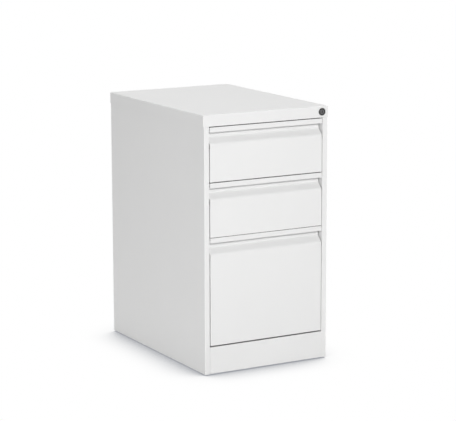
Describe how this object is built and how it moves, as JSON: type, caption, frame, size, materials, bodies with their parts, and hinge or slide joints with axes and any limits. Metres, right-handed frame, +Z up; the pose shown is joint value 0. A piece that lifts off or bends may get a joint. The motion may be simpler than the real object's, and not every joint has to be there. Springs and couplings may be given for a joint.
{
  "type": "filing cabinet",
  "caption": "White steel pedestal filing cabinet: box drawers over a file drawer, full-width recessed pulls, one lock in the top cap, levelling glides.",
  "frame": {"origin": "on the floor, under the middle of the case", "axes": "Z up, drawer fronts face -Y, X to the right as seen from the front"},
  "size_m": [0.3852, 0.5618, 0.7048],
  "materials": {
    "white_paint": "satin powder coat",
    "zinc_steel": "bright zinc plate",
    "lock_black": "black plated",
    "lock_steel": "dark nickel",
    "raw_steel": "mill scale",
    "glide_nylon": "moulded nylon"
  },
  "bodies": {
    "cabinet": {"left_side_panel": "white_paint", "right_side_panel": "white_paint", "back_panel": "white_paint", "top_cap": "white_paint", "header_rail": "white_paint", "kick_plate": "white_paint", "bottom_pan": "white_paint", "front_left_upright": "white_paint", "front_right_upright": "white_paint", "rear_left_upright": "white_paint", "rear_right_upright": "white_paint", "counterweight": "raw_steel", "glide_nuts": "zinc_steel", "lock_barrel": "lock_black", "lock_nut": "zinc_steel", "lock_bar_guides": "zinc_steel", "top_left_slide_fixed": "zinc_steel", "top_right_slide_fixed": "zinc_steel", "middle_left_slide_fixed": "zinc_steel", "middle_right_slide_fixed": "zinc_steel", "file_left_slide_fixed": "zinc_steel", "file_right_slide_fixed": "zinc_steel"},
    "top_drawer": {"top_drawer_front": "white_paint", "top_drawer_liner": "white_paint", "top_drawer_tray": "white_paint", "top_drawer_back": "white_paint", "top_lock_catch": "zinc_steel", "top_left_slide_drawer": "zinc_steel", "top_right_slide_drawer": "zinc_steel"},
    "middle_drawer": {"middle_drawer_front": "white_paint", "middle_drawer_liner": "white_paint", "middle_drawer_tray": "white_paint", "middle_drawer_back": "white_paint", "middle_lock_catch": "zinc_steel", "middle_left_slide_drawer": "zinc_steel", "middle_right_slide_drawer": "zinc_steel"},
    "file_drawer": {"file_drawer_front": "white_paint", "file_drawer_liner": "white_paint", "file_drawer_tray": "white_paint", "file_drawer_back": "white_paint", "file_lock_catch": "zinc_steel", "file_left_slide_drawer": "zinc_steel", "file_right_slide_drawer": "zinc_steel", "left_hanger_bar": "zinc_steel", "right_hanger_bar": "zinc_steel"},
    "top_ball_cages": {"top_ball_cages": "zinc_steel"},
    "middle_ball_cages": {"middle_ball_cages": "zinc_steel"},
    "file_slide_middles": {"file_left_slide_middle": "zinc_steel", "file_right_slide_middle": "zinc_steel"},
    "file_outer_ball_cages": {"file_outer_ball_cages": "zinc_steel"},
    "file_inner_ball_cages": {"file_inner_ball_cages": "zinc_steel"},
    "lock_core": {"lock_plug": "lock_steel", "lock_cam": "zinc_steel", "cam_screw": "zinc_steel"},
    "lock_bar": {"lock_bar": "zinc_steel", "lock_tabs": "zinc_steel"},
    "front_left_glide": {"front_left_glide": "glide_nylon"},
    "front_right_glide": {"front_right_glide": "glide_nylon"},
    "rear_left_glide": {"rear_left_glide": "glide_nylon"},
    "rear_right_glide": {"rear_right_glide": "glide_nylon"}
  },
  "joints": [
    {"name": "top_drawer_slide", "type": "slide", "parent": "cabinet", "child": "top_drawer", "axis": [0, -1, 0], "range_m": [0, 0.381]},
    {"name": "top_ball_cages_slide", "type": "slide", "parent": "cabinet", "child": "top_ball_cages", "axis": [0, -1, 0], "range_m": [0, 0.1905]},
    {"name": "middle_drawer_slide", "type": "slide", "parent": "cabinet", "child": "middle_drawer", "axis": [0, -1, 0], "range_m": [0, 0.381]},
    {"name": "middle_ball_cages_slide", "type": "slide", "parent": "cabinet", "child": "middle_ball_cages", "axis": [0, -1, 0], "range_m": [0, 0.1905]},
    {"name": "file_drawer_slide", "type": "slide", "parent": "cabinet", "child": "file_drawer", "axis": [0, -1, 0], "range_m": [0, 0.508]},
    {"name": "file_slide_middles_slide", "type": "slide", "parent": "cabinet", "child": "file_slide_middles", "axis": [0, -1, 0], "range_m": [0, 0.254]},
    {"name": "file_outer_ball_cages_slide", "type": "slide", "parent": "cabinet", "child": "file_outer_ball_cages", "axis": [0, -1, 0], "range_m": [0, 0.127]},
    {"name": "file_inner_ball_cages_slide", "type": "slide", "parent": "cabinet", "child": "file_inner_ball_cages", "axis": [0, -1, 0], "range_m": [0, 0.381]},
    {"name": "lock_turn", "type": "hinge", "parent": "cabinet", "child": "lock_core", "pos_m": [0.1723, -0.2795, 0.68925], "axis": [0, -1, 0], "range_deg": [0, 90]},
    {"name": "lock_bar_slide", "type": "slide", "parent": "cabinet", "child": "lock_bar", "axis": [0, 0, 1], "range_m": [0, 0.01414]},
    {"name": "front_left_glide_turn", "type": "hinge", "parent": "cabinet", "child": "front_left_glide", "pos_m": [-0.1505, -0.2175, 0], "axis": [0, 0, 1], "continuous": true},
    {"name": "front_right_glide_turn", "type": "hinge", "parent": "cabinet", "child": "front_right_glide", "pos_m": [0.1505, -0.2175, 0], "axis": [0, 0, 1], "continuous": true},
    {"name": "rear_left_glide_turn", "type": "hinge", "parent": "cabinet", "child": "rear_left_glide", "pos_m": [-0.1505, 0.2175, 0], "axis": [0, 0, 1], "continuous": true},
    {"name": "rear_right_glide_turn", "type": "hinge", "parent": "cabinet", "child": "rear_right_glide", "pos_m": [0.1505, 0.2175, 0], "axis": [0, 0, 1], "continuous": true}
  ],
  "couplings": [
    {"joint": "top_ball_cages_slide", "follows": "top_drawer_slide", "ratio": 0.5},
    {"joint": "middle_ball_cages_slide", "follows": "middle_drawer_slide", "ratio": 0.5},
    {"joint": "file_slide_middles_slide", "follows": "file_drawer_slide", "ratio": 0.5},
    {"joint": "file_outer_ball_cages_slide", "follows": "file_drawer_slide", "ratio": 0.25},
    {"joint": "file_inner_ball_cages_slide", "follows": "file_drawer_slide", "ratio": 0.75},
    {"joint": "lock_turn", "follows": "lock_bar_slide", "rad_per_m": 111.07}
  ]
}
